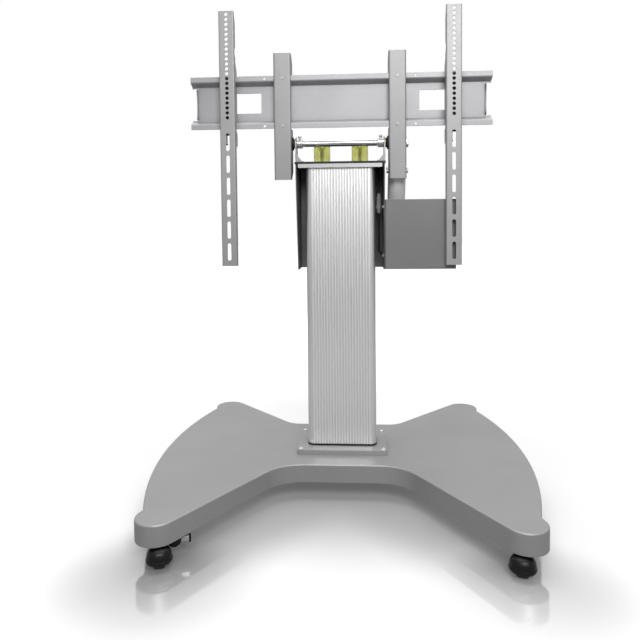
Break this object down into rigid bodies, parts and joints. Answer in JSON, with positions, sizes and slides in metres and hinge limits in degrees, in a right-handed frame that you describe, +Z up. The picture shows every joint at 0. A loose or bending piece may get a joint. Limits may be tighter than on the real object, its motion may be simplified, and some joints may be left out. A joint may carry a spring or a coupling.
{
  "type": "motorized mobile display stand",
  "caption": "Wheeled stand with a waisted base, a motor-lifted fluted column and a rail with sliding arms that tilts a large display from upright to flat.",
  "frame": {"origin": "on the floor under the middle of the base", "axes": "+X to the right seen from the front, +Y to the back, +Z up"},
  "size_m": [0.8968, 0.8252, 1.1821],
  "materials": {
    "base_paint": "satin silver-grey powder coat",
    "steel_paint": "satin silver-grey powder coat",
    "dark_paint": "dark grey powder coat, matt",
    "anodised": "bright satin anodised, fluted",
    "bright_steel": "zinc plated",
    "chrome": "polished",
    "black_rubber": "matt",
    "urethane": "translucent yellow-olive, satin",
    "brass": "satin",
    "black_plastic": "matt, moulded",
    "tread": "matt",
    "acetal": "natural",
    "panel_paint": "satin grey powder coat"
  },
  "bodies": {
    "base": {"base_cover": "base_paint", "base_frame": "dark_paint", "foot_plate": "base_paint", "foot_bolts": "bright_steel", "column_gasket": "black_rubber", "column_outer": "anodised", "column_glides": "acetal", "lift_gearbox": "dark_paint", "lift_motor": "bright_steel", "caster_stems": "bright_steel"},
    "lift_spindle": {"lift_spindle": "bright_steel"},
    "carriage": {"column_inner": "anodised", "spindle_nut": "brass", "top_plate": "dark_paint", "top_plate_screws": "bright_steel", "front_strip": "anodised", "carriage_hood": "dark_paint", "pivot_ear_left": "steel_paint", "pivot_ear_right": "steel_paint", "pivot_bushes": "brass", "tilt_bumpers": "urethane", "bumper_bolts": "dark_paint", "control_cover": "panel_paint", "cover_screws": "bright_steel", "control_box": "dark_paint", "mains_inlet": "black_plastic", "motor_lead": "black_rubber", "lead_connector": "black_plastic", "tilt_bracket": "dark_paint"},
    "head": {"tilt_shaft": "chrome", "shaft_collars": "bright_steel", "friction_washers": "black_rubber", "shaft_nut": "bright_steel", "upright_left": "steel_paint", "upright_right": "steel_paint", "display_rail": "steel_paint", "rail_screws": "bright_steel", "tilt_pin": "bright_steel"},
    "actuator_rod": {"tilt_rod": "bright_steel"},
    "actuator_tube": {"tilt_tube": "steel_paint", "tilt_motor": "dark_paint", "tilt_fork_pin": "bright_steel"},
    "arm_left": {"arm_left": "steel_paint", "arm_lock_left": "black_plastic"},
    "arm_right": {"arm_right": "steel_paint", "arm_lock_right": "black_plastic"},
    "caster_fl": {"caster_housing_fl": "black_plastic", "caster_axle_fl": "bright_steel"},
    "wheel_fl": {"caster_wheel_fl": "tread"},
    "brake_fl": {"brake_pedal_fl": "black_plastic"},
    "caster_fr": {"caster_housing_fr": "black_plastic", "caster_axle_fr": "bright_steel"},
    "wheel_fr": {"caster_wheel_fr": "tread"},
    "caster_rl": {"caster_housing_rl": "black_plastic", "caster_axle_rl": "bright_steel"},
    "wheel_rl": {"caster_wheel_rl": "tread"},
    "caster_rr": {"caster_housing_rr": "black_plastic", "caster_axle_rr": "bright_steel"},
    "wheel_rr": {"caster_wheel_rr": "tread"},
    "brake_rr": {"brake_pedal_rr": "black_plastic"}
  },
  "joints": [
    {"name": "lift", "type": "slide", "parent": "base", "child": "carriage", "axis": [0, 0, 1], "range_m": [0, 0.4]},
    {"name": "spindle_turn", "type": "hinge", "parent": "base", "child": "lift_spindle", "pos_m": [0.032, 0.041, 0.4], "axis": [0, 0, 1], "continuous": true},
    {"name": "tilt", "type": "hinge", "parent": "carriage", "child": "head", "pos_m": [0, 0.025, 0.8595], "axis": [-1, 0, 0], "range_deg": [0, 90]},
    {"name": "rod_swing", "type": "hinge", "parent": "head", "child": "actuator_rod", "pos_m": [0.142, 0.031, 0.7925], "axis": [1, 0, 0], "range_deg": [0, 96.14]},
    {"name": "tube_slide", "type": "slide", "parent": "actuator_rod", "child": "actuator_tube", "axis": [0, 0.4831, -0.8756], "range_m": [0, 0.09053]},
    {"name": "arm_left_slide", "type": "slide", "parent": "head", "child": "arm_left", "axis": [1, 0, 0], "range_m": [-0.06, 0.08]},
    {"name": "arm_right_slide", "type": "slide", "parent": "head", "child": "arm_right", "axis": [-1, 0, 0], "range_m": [-0.06, 0.08]},
    {"name": "swivel_fl", "type": "hinge", "parent": "base", "child": "caster_fl", "pos_m": [-0.352, -0.366, 0.05], "axis": [0, 0, 1], "continuous": true},
    {"name": "roll_fl", "type": "hinge", "parent": "caster_fl", "child": "wheel_fl", "pos_m": [-0.3452, -0.38692, 0.02], "axis": [-0.9511, -0.309, 0], "continuous": true},
    {"name": "brake_fl", "type": "hinge", "parent": "caster_fl", "child": "brake_fl", "pos_m": [-0.33393, -0.36013, 0.04], "axis": [-0.309, 0.9511, 0], "range_deg": [0, 10]},
    {"name": "swivel_fr", "type": "hinge", "parent": "base", "child": "caster_fr", "pos_m": [0.352, -0.366, 0.05], "axis": [0, 0, 1], "continuous": true},
    {"name": "roll_fr", "type": "hinge", "parent": "caster_fr", "child": "wheel_fr", "pos_m": [0.3452, -0.38692, 0.02], "axis": [-0.9511, 0.309, 0], "continuous": true},
    {"name": "swivel_rl", "type": "hinge", "parent": "base", "child": "caster_rl", "pos_m": [-0.352, 0.366, 0.05], "axis": [0, 0, 1], "continuous": true},
    {"name": "roll_rl", "type": "hinge", "parent": "caster_rl", "child": "wheel_rl", "pos_m": [-0.3452, 0.38692, 0.02], "axis": [0.9511, -0.309, 0], "continuous": true},
    {"name": "swivel_rr", "type": "hinge", "parent": "base", "child": "caster_rr", "pos_m": [0.352, 0.366, 0.05], "axis": [0, 0, 1], "continuous": true},
    {"name": "roll_rr", "type": "hinge", "parent": "caster_rr", "child": "wheel_rr", "pos_m": [0.3452, 0.38692, 0.02], "axis": [0.9511, 0.309, 0], "continuous": true},
    {"name": "brake_rr", "type": "hinge", "parent": "caster_rr", "child": "brake_rr", "pos_m": [0.37007, 0.37187, 0.04], "axis": [-0.309, 0.9511, 0], "range_deg": [0, 10]}
  ],
  "couplings": [
    {"joint": "rod_swing", "follows": "tilt", "ratio": 1.0682},
    {"joint": "tube_slide", "follows": "tilt", "m_per_rad": 0.057627},
    {"joint": "spindle_turn", "follows": "lift", "rad_per_m": 314.16}
  ]
}
